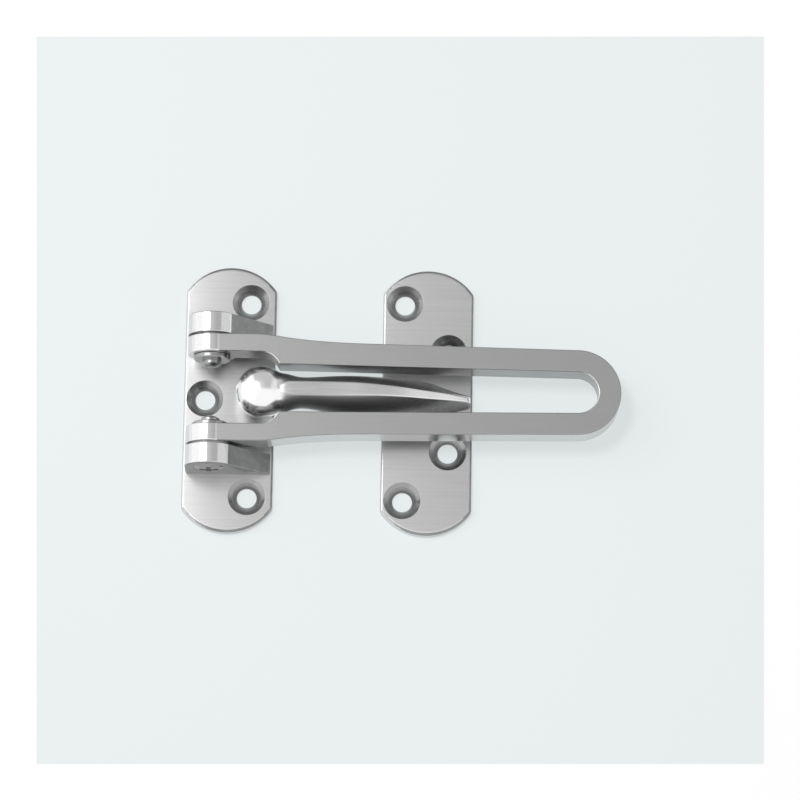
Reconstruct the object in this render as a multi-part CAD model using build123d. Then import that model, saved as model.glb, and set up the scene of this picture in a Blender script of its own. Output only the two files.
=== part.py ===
"""A swing-bar door guard, in millimetres.

The base unit is a plate with two hinge lugs. A U-shaped bar swings between the lugs on two short pins.
The catch is a second plate with a leaf-shaped arm that ends in a ball. With the bar closed, the ball
stands in the wide end of the bar's slot. Both plates lie on the plane z = 0, the long side of the guard
runs along X, and the origin is under the middle of the whole guard.
"""
import os
from math import acos, asin, cos, radians, sin, sqrt

from build123d import *

# Whole guard
GUARD_LENGTH = 115.0

# Both plates
PLATE_WIDTH = 24.0
PLATE_LENGTH = 72.0
PLATE_THICKNESS = 3.0
PLATE_END_RADIUS = 14.4
PLATE_EDGE_ROUND = 0.8
PLATE_CORNER_ROUND = 2.0
BASE_PLATE_X = -(GUARD_LENGTH - PLATE_WIDTH) / 2
CATCH_PLATE_X = 6.85

# Countersunk screw holes, as offsets from each plate's centre
HOLE_RADIUS = 2.6
COUNTERSINK_RADIUS = 4.85
BASE_HOLES = [(5.2, 26.4), (5.2, -26.4), (-6.4, 0.0)]
CATCH_HOLES = [(-6.2, 26.8), (-6.2, -26.8), (5.6, 13.5), (5.6, -13.5)]

# Hinge: the axis runs along Y
HINGE_X = -50.0
HINGE_Z = PLATE_THICKNESS + 7.5
BARREL_RADIUS = 6.5
LUG_INNER_Y = 14.8
LUG_OUTER_Y = 20.4
LUG_FLANK_SLOPE = 51.0
LUG_EDGE_ROUND = 0.35

# Hinge pins and their small parts
PIN_RADIUS = 2.5
PIN_RUNNING_GAP = 0.05
PIN_HEAD_RADIUS = 4.15
PIN_HEAD_SINK = 0.1
PIN_HEAD_RISE = 0.8
PIN_RIM_Y = 7.4
PIN_TIP_Y = 6.5
RECESS_LENGTH = 5.0
RECESS_WIDTH = 1.2
RECESS_DEPTH = 1.0
RING_RADIUS = 4.85
RING_INNER_Y = 8.5
RING_OUTER_Y = 9.6
RING_EDGE_ROUND = 0.25
WASHER_RADIUS = 5.4
WASHER_INNER_Y = 14.45
WASHER_OUTER_Y = 14.75

# Swing bar
BAR_FRONT_Z = HINGE_Z + 6.3
BAR_THICKNESS = 8.2
BAR_HINGE_HALF_WIDTH = 14.4
BAR_WAIST_HALF_WIDTH = 12.2
BAR_END_RADIUS = 11.4
BAR_END_X = GUARD_LENGTH / 2 - BAR_END_RADIUS
SHOULDER_START_X = -38.0
SHOULDER_MIDDLE = (-28.0, 13.3)
SHOULDER_END_X = -8.0
POCKET_HALF_WIDTH = 9.7
POCKET_CORNER_RADIUS = 5.5
POCKET_CORNER_X = -37.1
SLOT_START_HALF_WIDTH = 6.4
SLOT_END_RADIUS = 5.5
BAR_EDGE_ROUND = 0.4

# Ball and the arm that carries it
BALL_RADIUS = 6.85
BALL_X = -36.6
BALL_Z = PLATE_THICKNESS + 8.0
FLANK_BULGE_SHARE = 0.055
ARM_TIP_ROUND = 0.8

# Cross-sections of the arm from the ball to the tip: place along X, half width and height of the widest
# line, height of the crest, height of the underside, and half width of the flat crest
ARM_SECTIONS = [
    (-33.0, 5.45, 11.0, 16.3, 5.6, 1.5),
    (-30.0, 5.0, 11.2, 16.55, 5.9, 1.7),
    (-27.0, 4.25, 11.3, 16.6, 6.15, 1.8),
    (-23.5, 4.3, 10.8, 16.6, 5.9, 1.8),
    (-19.0, 4.9, 9.7, 16.6, 4.95, 1.8),
    (-14.0, 5.45, 8.35, 16.55, 3.75, 1.75),
    (-9.0, 5.75, 6.9, 16.3, 2.6, 1.6),
    (-4.0, 5.9, 5.35, 15.4, 1.75, 1.4),
    (1.0, 5.9, 4.2, 13.9, 1.3, 1.25),
    (6.0, 5.4, 3.4, 11.8, 1.1, 1.1),
    (10.5, 4.05, 3.1, 10.0, 1.0, 1.0),
    (14.5, 2.6, 3.0, 8.1, 1.0, 0.85),
    (18.3, 1.5, 3.0, 6.0, 1.0, 0.7),
]


def plate_outline() -> Sketch:
    """Outline of one plate: straight sides and shallow arcs at both ends, centred on the origin."""
    half_width = PLATE_WIDTH / 2
    half_length = PLATE_LENGTH / 2
    end_rise = PLATE_END_RADIUS - sqrt(PLATE_END_RADIUS**2 - half_width**2)
    corner_y = half_length - end_rise
    with BuildSketch() as outline:
        with BuildLine():
            Line((half_width, -corner_y), (half_width, corner_y))
            ThreePointArc((half_width, corner_y), (0, half_length), (-half_width, corner_y))
            Line((-half_width, corner_y), (-half_width, -corner_y))
            ThreePointArc((-half_width, -corner_y), (0, -half_length), (half_width, -corner_y))
        make_face()
        fillet(outline.vertices(), PLATE_CORNER_ROUND)
    return outline.sketch


def blank_plate(centre_x: float) -> Part:
    """One plate without holes, its front edges rounded."""
    plate = extrude(plate_outline(), PLATE_THICKNESS)
    front_edges = plate.faces().sort_by(Axis.Z)[-1].edges()
    return Pos(centre_x, 0, 0) * fillet(front_edges, PLATE_EDGE_ROUND)


def countersunk_hole(x: float, y: float) -> Part:
    """The material that one countersunk screw hole takes out of a plate."""
    sink_depth = COUNTERSINK_RADIUS - HOLE_RADIUS
    shank = Cylinder(HOLE_RADIUS, PLATE_THICKNESS * 3)
    sink = Cone(HOLE_RADIUS, COUNTERSINK_RADIUS, sink_depth, align=(Align.CENTER, Align.CENTER, Align.MAX))
    mouth = Cylinder(COUNTERSINK_RADIUS, PLATE_THICKNESS, align=(Align.CENTER, Align.CENTER, Align.MIN))
    return Pos(x, y, PLATE_THICKNESS) * (shank + sink + mouth)


def lug(side: int) -> Part:
    """One hinge lug on the base plate, on the side +1 or -1 of the bar."""
    flank_end_x = BASE_PLATE_X + PLATE_WIDTH / 2 - PLATE_EDGE_ROUND
    left_x = HINGE_X - BARREL_RADIUS
    root_z = PLATE_THICKNESS / 2
    leave_angle = radians(90 - LUG_FLANK_SLOPE)
    leave = (HINGE_X + BARREL_RADIUS * cos(leave_angle), HINGE_Z + BARREL_RADIUS * sin(leave_angle))
    flank_direction = (cos(radians(LUG_FLANK_SLOPE)), -sin(radians(LUG_FLANK_SLOPE)))
    with BuildSketch(Plane.XZ) as profile:
        with BuildLine():
            Polyline((flank_end_x, PLATE_THICKNESS), (flank_end_x, root_z), (left_x, root_z), (left_x, HINGE_Z))
            ThreePointArc((left_x, HINGE_Z), (HINGE_X, HINGE_Z + BARREL_RADIUS), leave)
            TangentArc(leave, (flank_end_x, PLATE_THICKNESS), tangent=flank_direction)
        make_face()
    thickness = LUG_OUTER_Y - LUG_INNER_Y
    body = extrude(profile.sketch, -thickness)
    body = Pos(0, LUG_INNER_Y, 0) * body
    rims = body.faces().filter_by(Axis.Y).edges().filter_by(lambda edge: edge.center().Z > PLATE_THICKNESS + 0.5)
    body = fillet(rims, LUG_EDGE_ROUND)
    if side < 0:
        body = mirror(body, Plane.XZ)
    return body


def turned(points: list, side: int) -> Part:
    """A round piece on the hinge axis from its half profile of (distance from axis, distance from y = 0)."""
    with BuildSketch(Plane.XY) as profile:
        with BuildLine():
            Polyline(*[(radius, along) for radius, along in points], close=True)
        make_face()
    piece = Pos(HINGE_X, 0, HINGE_Z) * revolve(profile.sketch, Axis.Y)
    if side < 0:
        piece = mirror(piece, Plane.XZ)
    return piece


def lug_bore(side: int) -> Part:
    """The pin's hole through a lug, with its countersink in the lug's outer face."""
    sink_start = LUG_OUTER_Y - (PIN_HEAD_RADIUS - PIN_RADIUS)
    return turned(
        [(0, LUG_INNER_Y - 1), (PIN_RADIUS, LUG_INNER_Y - 1), (PIN_RADIUS, sink_start),
         (PIN_HEAD_RADIUS, LUG_OUTER_Y), (PIN_HEAD_RADIUS, LUG_OUTER_Y + 1), (0, LUG_OUTER_Y + 1)],
        side,
    )


def build_base_plate() -> Part:
    """The base: plate and both lugs, cast in one piece."""
    base = blank_plate(BASE_PLATE_X)
    for side in (1, -1):
        base += lug(side)
    for side in (1, -1):
        base -= lug_bore(side)
    for x, y in BASE_HOLES:
        base -= countersunk_hole(BASE_PLATE_X + x, y)
    return base


def dome_middle(rim_radius: float, rim_y: float, tip_y: float) -> tuple:
    """Point halfway along the profile of a dome, from its rim to its tip on the axis."""
    rise = abs(tip_y - rim_y)
    dome_radius = (rim_radius**2 + rise**2) / (2 * rise)
    turn = asin(rim_radius / dome_radius) / 2
    drop = dome_radius * (1 - cos(turn))
    if tip_y > rim_y:
        drop = -drop
    return dome_radius * sin(turn), tip_y + drop


def build_hinge_pin(side: int) -> Part:
    """A hinge pin: domed countersunk head with a cross recess in the lug, domed end inside the bar's arm."""
    rim_y = LUG_OUTER_Y - PIN_HEAD_SINK
    head_y = rim_y + PIN_HEAD_RISE
    sink_start = LUG_OUTER_Y - (PIN_HEAD_RADIUS - PIN_RADIUS)
    head_radius = PIN_HEAD_RADIUS - PIN_HEAD_SINK
    head_middle = dome_middle(head_radius, rim_y, head_y)
    tip_middle = dome_middle(PIN_RADIUS, PIN_RIM_Y, PIN_TIP_Y)
    with BuildSketch(Plane.XY) as profile:
        with BuildLine():
            Line((0, PIN_TIP_Y), (0, head_y))
            ThreePointArc((0, head_y), head_middle, (head_radius, rim_y))
            Polyline((head_radius, rim_y), (PIN_RADIUS, sink_start), (PIN_RADIUS, PIN_RIM_Y))
            ThreePointArc((PIN_RADIUS, PIN_RIM_Y), tip_middle, (0, PIN_TIP_Y))
        make_face()
    pin = revolve(profile.sketch, Axis.Y)
    wide = Box(RECESS_LENGTH, RECESS_DEPTH * 2, RECESS_WIDTH)
    tall = Box(RECESS_WIDTH, RECESS_DEPTH * 2, RECESS_LENGTH)
    pin -= Pos(0, head_y, 0) * wide
    pin -= Pos(0, head_y, 0) * tall
    pin = Pos(HINGE_X, 0, HINGE_Z) * pin
    if side < 0:
        pin = mirror(pin, Plane.XZ)
    return pin


def build_retaining_ring(side: int) -> Part:
    """The ring on a pin's inner end, which keeps the bar's arm against its lug."""
    soft = RING_EDGE_ROUND
    return turned(
        [(PIN_RADIUS, RING_OUTER_Y), (RING_RADIUS, RING_OUTER_Y), (RING_RADIUS, RING_INNER_Y + soft),
         (RING_RADIUS - soft, RING_INNER_Y), (PIN_RADIUS, RING_INNER_Y)],
        side,
    )


def build_spacer_washer(side: int) -> Part:
    """The thin washer between a lug and the bar's arm."""
    return turned(
        [(PIN_RADIUS, WASHER_INNER_Y), (WASHER_RADIUS, WASHER_INNER_Y),
         (WASHER_RADIUS, WASHER_OUTER_Y), (PIN_RADIUS, WASHER_OUTER_Y)],
        side,
    )


def bar_outline() -> Sketch:
    """Outline of the closed bar seen from the front, with its slot and the wide pocket for the ball."""
    corner_centre_y = POCKET_HALF_WIDTH - POCKET_CORNER_RADIUS
    corner_rise = SLOT_START_HALF_WIDTH - corner_centre_y
    slot_x = POCKET_CORNER_X + sqrt(POCKET_CORNER_RADIUS**2 - corner_rise**2)
    corner_turn = acos(corner_rise / POCKET_CORNER_RADIUS) / 2
    corner_middle = (POCKET_CORNER_X + POCKET_CORNER_RADIUS * sin(corner_turn),
                     corner_centre_y + POCKET_CORNER_RADIUS * cos(corner_turn))
    taper = (BAR_END_RADIUS - BAR_WAIST_HALF_WIDTH) / (BAR_END_X - SHOULDER_END_X)
    with BuildSketch() as outline:
        with BuildLine() as upper:
            Line((HINGE_X, POCKET_HALF_WIDTH), (HINGE_X, BAR_HINGE_HALF_WIDTH))
            Line((HINGE_X, BAR_HINGE_HALF_WIDTH), (SHOULDER_START_X, BAR_HINGE_HALF_WIDTH))
            Spline((SHOULDER_START_X, BAR_HINGE_HALF_WIDTH), SHOULDER_MIDDLE,
                   (SHOULDER_END_X, BAR_WAIST_HALF_WIDTH), tangents=[(1, 0), (1, taper)])
            Line((SHOULDER_END_X, BAR_WAIST_HALF_WIDTH), (BAR_END_X, BAR_END_RADIUS))
            quarter = sin(radians(45))
            ThreePointArc((BAR_END_X, BAR_END_RADIUS),
                          (BAR_END_X + BAR_END_RADIUS * quarter, BAR_END_RADIUS * quarter),
                          (BAR_END_X + BAR_END_RADIUS, 0))
            Line((BAR_END_X + BAR_END_RADIUS, 0), (BAR_END_X + SLOT_END_RADIUS, 0))
            ThreePointArc((BAR_END_X + SLOT_END_RADIUS, 0),
                          (BAR_END_X + SLOT_END_RADIUS * quarter, SLOT_END_RADIUS * quarter),
                          (BAR_END_X, SLOT_END_RADIUS))
            Line((BAR_END_X, SLOT_END_RADIUS), (slot_x, SLOT_START_HALF_WIDTH))
            ThreePointArc((slot_x, SLOT_START_HALF_WIDTH), corner_middle,
                          (POCKET_CORNER_X, POCKET_HALF_WIDTH))
            Line((POCKET_CORNER_X, POCKET_HALF_WIDTH), (HINGE_X, POCKET_HALF_WIDTH))
        make_face()
        mirror(about=Plane.XZ)
    return outline.sketch


def bar_barrels() -> Part:
    """The two round ends of the bar's arms, on the hinge axis."""
    length = BAR_HINGE_HALF_WIDTH - POCKET_HALF_WIDTH
    middle_y = (BAR_HINGE_HALF_WIDTH + POCKET_HALF_WIDTH) / 2
    barrels = Part()
    for side in (1, -1):
        barrels += Pos(HINGE_X, side * middle_y, HINGE_Z) * Rot(90, 0, 0) * Cylinder(BARREL_RADIUS, length)
    return barrels


def build_swing_bar() -> Part:
    """The U-shaped bar with its two barrels, forged in one piece."""
    slab = extrude(bar_outline(), BAR_THICKNESS)
    slab = Pos(0, 0, BAR_FRONT_Z - BAR_THICKNESS) * slab
    rounded = [edge for edge in slab.faces().filter_by(Axis.Z).edges()
               if edge.center().X > HINGE_X + 0.1]
    slab = fillet(rounded, BAR_EDGE_ROUND)
    bar = slab + bar_barrels()
    bore = Pos(HINGE_X, 0, HINGE_Z) * Rot(90, 0, 0) * Cylinder(PIN_RADIUS + PIN_RUNNING_GAP, PLATE_LENGTH)
    return bar - bore


def arm_section(x: float, half_width: float, widest_z: float, crest_z: float, under_z: float,
                crest_half: float) -> Face:
    """One cross-section of the ball's arm: a flat crest, steep flanks and a rounded underside."""
    run = half_width - crest_half
    rise = crest_z - widest_z
    flank_middle = ((half_width + crest_half) / 2 + rise * FLANK_BULGE_SHARE,
                    (widest_z + crest_z) / 2 + run * FLANK_BULGE_SHARE)
    right = ThreePointArc((half_width, widest_z), flank_middle, (crest_half, crest_z))
    crest = Line((crest_half, crest_z), (-crest_half, crest_z))
    left = ThreePointArc((-crest_half, crest_z), (-flank_middle[0], flank_middle[1]), (-half_width, widest_z))
    lower = Spline((-half_width, widest_z), (0, under_z), (half_width, widest_z), tangents=[(0, -1), (0, 1)])
    plane = Plane(origin=(x, 0, 0), x_dir=(0, 1, 0), z_dir=(1, 0, 0))
    return plane * make_face([right, crest, left, lower]).face()


def build_catch_plate() -> Part:
    """The catch: plate, leaf-shaped arm and ball, cast in one piece."""
    arm = loft([arm_section(*section) for section in ARM_SECTIONS])
    tip_edges = arm.faces().sort_by(Axis.X)[-1].edges()
    arm = fillet(tip_edges, ARM_TIP_ROUND)
    catch = blank_plate(CATCH_PLATE_X) + arm
    catch += Pos(BALL_X, 0, BALL_Z) * Sphere(BALL_RADIUS)
    for x, y in CATCH_HOLES:
        catch -= countersunk_hole(CATCH_PLATE_X + x, y)
    return catch


def main() -> None:
    """Write every piece of the guard to its own file."""
    nodes = {
        "base_plate": build_base_plate(),
        "swing_bar": build_swing_bar(),
        "catch_plate": build_catch_plate(),
    }
    for side, place in ((1, "upper"), (-1, "lower")):
        nodes[f"{place}_hinge_pin"] = build_hinge_pin(side)
        nodes[f"{place}_retaining_ring"] = build_retaining_ring(side)
        nodes[f"{place}_spacer_washer"] = build_spacer_washer(side)
    os.makedirs("parts", exist_ok=True)
    for name, shape in nodes.items():
        export_step(shape, f"parts/{name}.step")


main()
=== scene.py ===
"""Looks of the swing-bar door guard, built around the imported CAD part.

Lengths in the shape classes are millimetres. `MM` turns them into the metres of the row frame.
"""
import logging
import math
from collections.abc import Callable
from dataclasses import dataclass
from enum import Enum

import bmesh
import bpy
import numpy as np
from bpy.types import Material, Node, NodeSocket, NodeTree, Object, World
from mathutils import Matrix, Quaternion, Vector


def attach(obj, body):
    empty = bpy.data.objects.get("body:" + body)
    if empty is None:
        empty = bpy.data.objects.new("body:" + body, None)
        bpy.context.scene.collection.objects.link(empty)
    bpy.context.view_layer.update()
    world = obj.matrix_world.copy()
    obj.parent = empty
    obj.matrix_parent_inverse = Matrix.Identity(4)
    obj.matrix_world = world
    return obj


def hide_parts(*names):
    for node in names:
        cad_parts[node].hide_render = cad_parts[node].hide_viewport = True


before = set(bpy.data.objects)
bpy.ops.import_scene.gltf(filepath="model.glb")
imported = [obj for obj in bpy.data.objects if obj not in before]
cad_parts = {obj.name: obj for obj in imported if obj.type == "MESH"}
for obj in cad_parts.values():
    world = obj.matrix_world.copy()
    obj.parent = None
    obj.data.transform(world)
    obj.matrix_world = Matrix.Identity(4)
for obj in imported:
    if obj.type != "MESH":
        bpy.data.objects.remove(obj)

LOG = logging.getLogger("door_guard")
MM = 0.001

# Points of a mesh that are nearer to each other than this are one point.
SAME_POINT = 0.0005
# How far up a face's normal points: at least LEVEL on a level face and FLAT on a flat front, and less than
# UPRIGHT on a side. Rounded edges lie between FLAT and UPRIGHT.
LEVEL = 0.99995
FLAT = 0.97
UPRIGHT = 0.3


class Body(str, Enum):
    """The CAD bodies that pieces ride on."""

    FIXED = "fixed_units"
    BAR = "bar"


class Slot(str, Enum):
    """The record's material slots."""

    SATIN = "satin_steel"
    PIN = "pin_steel"
    WASHER = "washer_steel"


def spaced(start: float, end: float, count: int) -> list:
    """Values at even steps from a start to an end, both included."""
    return [start + (end - start) * i / count for i in range(count + 1)]


def fade(value: float, start: float, end: float) -> float:
    """Rise evenly from 0, with the value at the start, to 1, with the value at the end."""
    return min(max((value - start) / (end - start), 0.0), 1.0)


def ease(share: float) -> float:
    """Turn an even rise from 0 to 1 into one that starts and ends gently."""
    return share * share * (3 - 2 * share)


def feed(node: Node, inputs: dict) -> None:
    """Set or link inputs of a node.

    Args:
        node: The node.
        inputs: For each input's name or number its value, or the output that it is linked to.
    """
    for name, value in inputs.items():
        if isinstance(value, NodeSocket):
            node.id_data.links.new(value, node.inputs[name])
        else:
            node.inputs[name].default_value = value


def add_node(
    tree: NodeTree, kind: str, output: str, inputs: dict | None = None, **settings: str
) -> NodeSocket:
    """Add a node to a tree.

    Args:
        tree: The tree.
        kind: The node's type.
        output: Name of the output that is wanted.
        inputs: What its inputs are set to or linked to.
        **settings: The node's other settings.

    Returns:
        The output.
    """
    node = tree.nodes.new(kind)
    for name, value in settings.items():
        setattr(node, name, value)
    feed(node, inputs or {})
    return node.outputs[output]


def noise(tree: NodeTree, place: NodeSocket, scale: float, detail: float) -> NodeSocket:
    """Make a noise pattern from places in space."""
    inputs = {"Vector": place, "Scale": scale, "Detail": detail}
    return add_node(tree, "ShaderNodeTexNoise", "Fac", inputs)


def blend(tree: NodeTree, share: NodeSocket, first: object, second: object) -> NodeSocket:
    """Mix two colours, each given as a value or as an output."""
    inputs = {"Factor": share, "A": first, "B": second}
    return add_node(tree, "ShaderNodeMix", "Result", inputs, data_type="RGBA")


def reckon(tree: NodeTree, operation: str, first: NodeSocket, second: object) -> NodeSocket:
    """Work out one step of arithmetic."""
    return add_node(tree, "ShaderNodeMath", "Value", {0: first, 1: second}, operation=operation)


def ramp(
    tree: NodeTree, value: NodeSocket, given: tuple, wanted: tuple = (0.0, 1.0), **settings: str
) -> NodeSocket:
    """Turn one range of values into another and cut it off at both ends.

    Args:
        tree: The tree.
        value: The value.
        given: Its range.
        wanted: The range that it is turned into.
        **settings: The node's other settings.

    Returns:
        The value in its new range.
    """
    inputs = {"Value": value, "From Min": given[0], "From Max": given[1]}
    inputs |= {"To Min": wanted[0], "To Max": wanted[1]}
    return add_node(tree, "ShaderNodeMapRange", "Result", inputs, **settings)


def fresh_material(name: str) -> tuple[Material, NodeTree, Node]:
    """Make a material that has only its surface shader.

    Args:
        name: Name of the material.

    Returns:
        The material, its node tree and its Principled shader.
    """
    material = bpy.data.materials.new(name)
    material.use_nodes = True
    return material, material.node_tree, material.node_tree.nodes["Principled BSDF"]


@dataclass(frozen=True)
class Metal:
    """A bare metal surface with fine lines along X.

    Attributes:
        name: Name of the material.
        colour: Reflected colour, linear.
        roughness: Mean roughness.
        stretch: How far reflections spread across the lines, 0 to 1.
        line_depth: Height of the fine lines, in millimetres.
        line_pitch: Typical distance between lines, in millimetres.
        line_length: Typical length of a line, in millimetres.
        line_range: Range of the lines' noise that runs from the darkest line to the lightest.
        mottle: Share by which roughness varies in slow patches.
        patches: Number of such patches per metre.
        streak: Share by which the colour varies from line to line.
        shaded_colour: Painted shade where the polish_and_painted_light share is 0. It alone has streaks.
        dull_roughness: Roughness there.
    """

    name: str
    colour: tuple
    roughness: float
    stretch: float = 0.0
    line_depth: float = 0.0
    line_pitch: float = 0.4
    line_length: float = 14.0
    line_range: tuple = (0.3, 0.7)
    mottle: float = 0.0
    patches: float = 180.0
    streak: float = 0.0
    shaded_colour: tuple | None = None
    dull_roughness: float = 0.3

    def streaks(self, tree: NodeTree, lines: NodeSocket) -> NodeSocket:
        """Vary the colour from line to line.

        Args:
            tree: The material's node tree.
            lines: The pattern of the lines.

        Returns:
            The varied colour.
        """
        base = self.shaded_colour or self.colour
        dark = (*(c * (1 - self.streak) for c in base), 1.0)
        light = (*(min(c * (1 + self.streak), 1.0) for c in base), 1.0)
        return blend(tree, ramp(tree, lines, self.line_range), dark, light)

    def build(self) -> Material:
        """Make the material.

        Returns:
            The finished material.
        """
        material, tree, shader = fresh_material(self.name)
        feed(shader, {"Base Color": (*self.colour, 1.0), "Metallic": 1.0, "Roughness": self.roughness})
        place = add_node(tree, "ShaderNodeTexCoord", "Object")
        fine = 1 / (self.line_pitch * MM)
        scale = (1 / (self.line_length * MM), fine, fine)
        drawn = add_node(tree, "ShaderNodeMapping", "Vector", {"Vector": place, "Scale": scale})
        lines = noise(tree, drawn, scale=1.0, detail=1.5)
        varied = {}
        if self.stretch > 0:
            across = add_node(
                tree, "ShaderNodeVectorTransform", "Vector", {"Vector": (0.0, 1.0, 0.0)},
                vector_type="VECTOR", convert_from="OBJECT", convert_to="WORLD",
            )
            varied |= {"Anisotropic": self.stretch, "Tangent": across}
        if self.line_depth > 0:
            inputs = {"Strength": 1.0, "Distance": self.line_depth * MM, "Height": lines}
            varied["Normal"] = add_node(tree, "ShaderNodeBump", "Normal", inputs)
        if self.streak > 0:
            varied["Base Color"] = self.streaks(tree, lines)
        if self.mottle > 0:
            limits = self.roughness * (1 - self.mottle), self.roughness * (1 + self.mottle)
            patchy = noise(tree, place, scale=self.patches, detail=2.0)
            varied["Roughness"] = ramp(tree, patchy, (0.0, 1.0), limits)
        # Low share: painted shade in the shaded colour; high: polish or painted light in the bright one.
        if self.shaded_colour:
            polish_and_painted_light = add_node(tree, "ShaderNodeAttribute", "Fac", attribute_name="polish_and_painted_light")
            varied["Base Color"] = blend(tree, polish_and_painted_light, varied["Base Color"], (*self.colour, 1.0))
            varied["Roughness"] = ramp(tree, polish_and_painted_light, (0.0, 1.0), (self.dull_roughness, self.roughness))
        feed(shader, varied)
        return material


BRUSHED = Metal(
    "brushed_plate", (0.65, 0.65, 0.65), 0.33, stretch=0.4,
    line_depth=0.004, line_pitch=0.6, line_length=50.0, mottle=0.1, streak=0.035,
)
SATIN = Metal("satin_bar", (0.405, 0.41, 0.405), 0.42, mottle=0.1, streak=0.02)
POLISHED = Metal("polished_ends", (0.80, 0.80, 0.80), 0.12, mottle=0.2, streak=0.03)
# Painted light: a lighter copy of the metal on upright sides, for the pale card they mirror.
SIDE_LIGHT = Metal("painted_light_sides", (0.62, 0.62, 0.62), 0.24, mottle=0.2, streak=0.05)
# Painted shade: a darker copy on plate edges not facing left, bar edges and lug sides and flanks.
PAINTED_SHADE = Metal("painted_shade_sides", (0.29, 0.29, 0.29), 0.30, line_length=4.0, line_pitch=2.0, mottle=0.2, streak=0.12)
# Painted shade: a darker copy of the metal on the bar's slot walls.
SHADED = Metal("painted_shade_slot_walls", (0.29, 0.29, 0.29), 0.25, mottle=0.2)
# Painted shade: a darker copy of the metal in the countersinks.
SINK_SHADE = Metal("painted_shade_sinks", (0.36, 0.36, 0.36), 0.24, mottle=0.3)
# Bright colour: polish on the ball, painted light on the crest; shaded colour: painted shade on the flanks.
LEAF = Metal(
    "leaf_arm", (0.97, 0.97, 0.97), 0.22, line_length=9.0, streak=0.16,
    shaded_colour=(0.30, 0.30, 0.30), dull_roughness=0.52,
)
PIN_STEEL = Metal("pin_steel", (0.40, 0.40, 0.40), 0.24, mottle=0.2)
WASHER_STEEL = Metal("washer_steel", (0.60, 0.60, 0.60), 0.30)


class Shell:
    """Points and faces of a mesh under construction, in millimetres."""

    def __init__(self) -> None:
        """Start with nothing."""
        self.points: list = []
        self.faces: list = []

    def ring(self, points: list) -> list:
        """Add a row of points.

        Args:
            points: The points, in order.

        Returns:
            Their numbers in the mesh.
        """
        first = len(self.points)
        self.points.extend(tuple(point) for point in points)
        return list(range(first, len(self.points)))

    def band(self, first: list, second: list) -> None:
        """Join two closed rows of equal length with four-sided faces.

        Args:
            first: Numbers of one row.
            second: Numbers of the other row.
        """
        count = len(first)
        for i in range(count):
            j = (i + 1) % count
            self.faces.append((first[i], first[j], second[j], second[i]))

    def stack(self, rows: list) -> list:
        """Add closed rows of points and join each to the next.

        Args:
            rows: Rows of points, all of equal length.

        Returns:
            The numbers of every row.
        """
        rings = [self.ring(row) for row in rows]
        for lower, upper in zip(rings, rings[1:]):
            self.band(lower, upper)
        return rings

    def fill(self, loops: list) -> None:
        """Cover the flat area inside the first loop and outside the others.

        Args:
            loops: Numbers of closed loops that lie in one plane.
        """
        work = bmesh.new()
        known = {}
        for loop in loops:
            made = []
            for number in loop:
                vertex = work.verts.new(self.points[number])
                known[vertex] = number
                made.append(vertex)
            for i, vertex in enumerate(made):
                work.edges.new((vertex, made[(i + 1) % len(made)]))
        bmesh.ops.triangle_fill(work, use_beauty=True, use_dissolve=False, edges=work.edges[:])
        for face in work.faces:
            self.faces.append(tuple(known[vertex] for vertex in face.verts))
        work.free()

    def to_object(self, name: str, material: Material) -> Object:
        """Turn the shell into an object with outward normals.

        Args:
            name: Name of the object.
            material: Its finish.

        Returns:
            The object, in the scene.
        """
        mesh = bpy.data.meshes.new(name)
        mesh.from_pydata([[c * MM for c in point] for point in self.points], [], self.faces)
        work = bmesh.new()
        work.from_mesh(mesh)
        bmesh.ops.remove_doubles(work, verts=work.verts[:], dist=SAME_POINT * MM)
        bmesh.ops.recalc_face_normals(work, faces=work.faces[:])
        work.to_mesh(mesh)
        work.free()
        mesh.materials.append(material)
        piece = bpy.data.objects.new(name, mesh)
        bpy.context.scene.collection.objects.link(piece)
        return piece


def coat(piece: Object, material: Material, wanted: Callable[[Vector, Vector], bool]) -> None:
    """Give some faces of a piece a second material: a finish, or a copy that paints light or shade.

    Args:
        piece: The piece.
        material: The second finish.
        wanted: Tells from a face's normal and its centre in millimetres whether it gets the material.
    """
    piece.data.materials.append(material)
    number = len(piece.data.materials) - 1
    for face in piece.data.polygons:
        if wanted(face.normal, face.center / MM):
            face.material_index = number


def bake(piece: Object) -> None:
    """Turn a piece and its modifiers into a plain mesh.

    Args:
        piece: The piece.
    """
    graph = bpy.context.evaluated_depsgraph_get()
    baked = bpy.data.meshes.new_from_object(
        piece.evaluated_get(graph), preserve_all_data_layers=True, depsgraph=graph
    )
    piece.modifiers.clear()
    piece.data = baked


def settle(
    piece: Object, crease: float = 32.0, exact: Callable[[Vector], Vector | None] | None = None
) -> Object:
    """Smooth a piece's shading by the size of its faces and keep level faces level.

    Args:
        piece: The piece.
        crease: Edges that turn by more degrees than this stay sharp.
        exact: Gives the true normal at a point of a known face, and nothing elsewhere.

    Returns:
        The same piece with a plain mesh.
    """
    piece.data.shade_smooth()
    piece.data.set_sharp_from_angle(angle=math.radians(crease))
    weights = piece.modifiers.new("weights", "WEIGHTED_NORMAL")
    weights.keep_sharp = True
    weights.weight = 80
    bake(piece)
    mesh = piece.data
    normals = [corner.vector.copy() for corner in mesh.corner_normals]
    for face in mesh.polygons:
        known = [exact(mesh.vertices[number].co) for number in face.vertices] if exact else [None]
        if None not in known:
            for corner, normal in zip(face.loop_indices, known):
                normals[corner] = normal
        elif abs(face.normal.z) > LEVEL:
            for corner in face.loop_indices:
                normals[corner] = face.normal.copy()
    mesh.normals_split_custom_set(normals)
    return piece


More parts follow.
